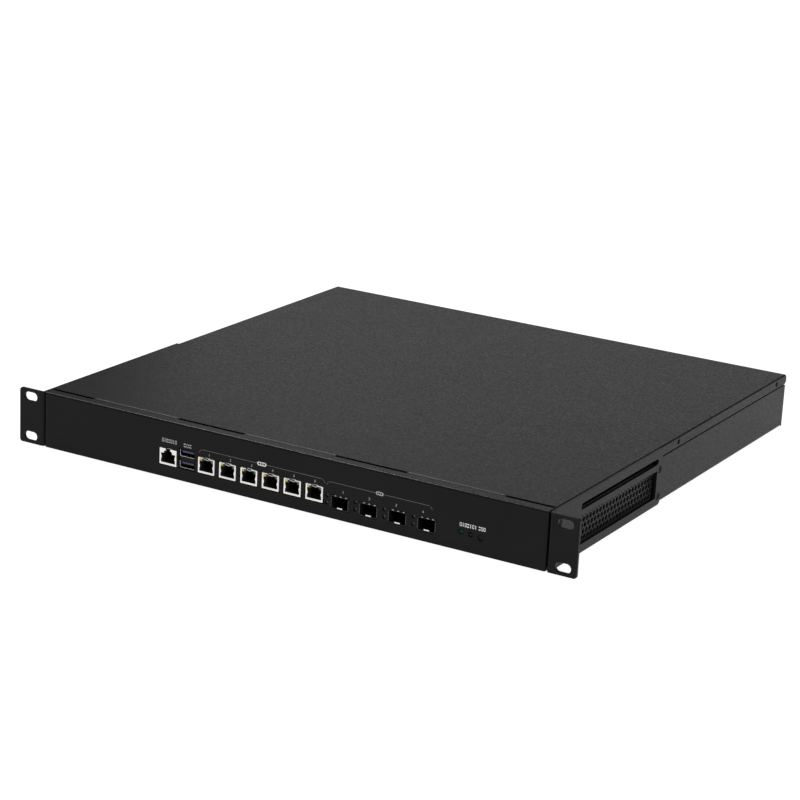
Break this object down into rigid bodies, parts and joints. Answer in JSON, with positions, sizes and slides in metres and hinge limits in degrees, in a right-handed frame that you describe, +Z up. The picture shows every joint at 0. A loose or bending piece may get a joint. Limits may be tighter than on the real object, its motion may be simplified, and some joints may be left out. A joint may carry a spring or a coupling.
{
  "type": "firewall appliance",
  "caption": "Low rack-mount network appliance in a black sheet-metal case with network jacks, module cages, rack ears with mesh windows, fans and a mains supply.",
  "frame": {"origin": "middle of the base, centred in width and in depth", "axes": "+X to the right along the front, +Y from the front to the back, +Z up"},
  "size_m": [0.4826, 0.4244, 0.044],
  "materials": {
    "powder_coat": "fine textured matt black powder coat",
    "screw_black": "blackened steel",
    "zinc": "bare zinc-plated steel",
    "nickel": "bright nickel-plated sheet",
    "aluminium": "anodised",
    "board_green": "solder-mask green laminate",
    "black_plastic": "moulded black plastic",
    "blue_plastic": "moulded blue plastic",
    "gold": "plated contacts",
    "lamp_green": "translucent lens",
    "lamp_red": "translucent lens",
    "lamp_clear": "translucent lens"
  },
  "bodies": {
    "housing": {"chassis_tray": "powder_coat", "front_panel": "powder_coat", "rear_panel": "powder_coat", "top_cover": "powder_coat", "rack_ear_left": "powder_coat", "rack_ear_right": "powder_coat", "side_mesh_left": "powder_coat", "side_mesh_right": "powder_coat", "cover_screws": "screw_black", "ear_screws": "screw_black", "fan_screws": "screw_black", "circuit_board": "board_green", "standoffs": "zinc", "board_screws": "zinc", "chips": "black_plastic", "capacitors": "zinc", "processor": "zinc", "heatsink": "aluminium", "memory_socket": "black_plastic", "memory_module": "board_green", "drive_socket": "black_plastic", "drive": "board_green", "console_jack": "nickel", "usb_shell": "nickel", "usb_tongues": "blue_plastic", "sfp_lamps": "lamp_clear", "power_lamp": "lamp_green", "status_lamp": "lamp_red", "reset_switch": "black_plastic", "supply_case": "zinc", "supply_board": "board_green", "mains_inlet": "black_plastic", "inlet_pins": "gold", "rocker_frame": "black_plastic", "power_socket": "black_plastic", "power_harness": "black_plastic", "lan_jack_1": "nickel", "lan_jack_2": "nickel", "lan_jack_3": "nickel", "lan_jack_4": "nickel", "lan_jack_5": "nickel", "lan_jack_6": "nickel", "sfp_cage_1": "nickel", "sfp_socket_1": "black_plastic", "sfp_cage_2": "nickel", "sfp_socket_2": "black_plastic", "sfp_cage_3": "nickel", "sfp_socket_3": "black_plastic", "sfp_cage_4": "nickel", "sfp_socket_4": "black_plastic", "fan_1_frame": "black_plastic", "fan_2_frame": "black_plastic", "fan_3_frame": "black_plastic", "supply_fan_frame": "black_plastic"},
    "fan_1_rotor": {"fan_1_rotor": "black_plastic"},
    "fan_2_rotor": {"fan_2_rotor": "black_plastic"},
    "fan_3_rotor": {"fan_3_rotor": "black_plastic"},
    "supply_fan_rotor": {"supply_fan_rotor": "black_plastic"},
    "reset_button": {"reset_button": "black_plastic"},
    "rocker": {"rocker": "black_plastic"}
  },
  "joints": [
    {"name": "fan_1_spin", "type": "hinge", "parent": "housing", "child": "fan_1_rotor", "pos_m": [-0.18, 0.2003, 0.0214], "axis": [0, 1, 0], "continuous": true},
    {"name": "fan_2_spin", "type": "hinge", "parent": "housing", "child": "fan_2_rotor", "pos_m": [-0.11, 0.2003, 0.0214], "axis": [0, 1, 0], "continuous": true},
    {"name": "fan_3_spin", "type": "hinge", "parent": "housing", "child": "fan_3_rotor", "pos_m": [-0.04, 0.2003, 0.0214], "axis": [0, 1, 0], "continuous": true},
    {"name": "supply_fan_spin", "type": "hinge", "parent": "housing", "child": "supply_fan_rotor", "pos_m": [0.153, 0.1995, 0.0214], "axis": [0, 1, 0], "continuous": true},
    {"name": "reset_press", "type": "slide", "parent": "housing", "child": "reset_button", "axis": [0, 1, 0], "range_m": [0, 0.0008], "stiffness_N_per_m": 1500, "springref_m": -0.0003},
    {"name": "power_rock", "type": "hinge", "parent": "housing", "child": "rocker", "pos_m": [0.1915, 0.2063, 0.0303], "axis": [0, 0, 1], "range_deg": [-20, 0]}
  ]
}
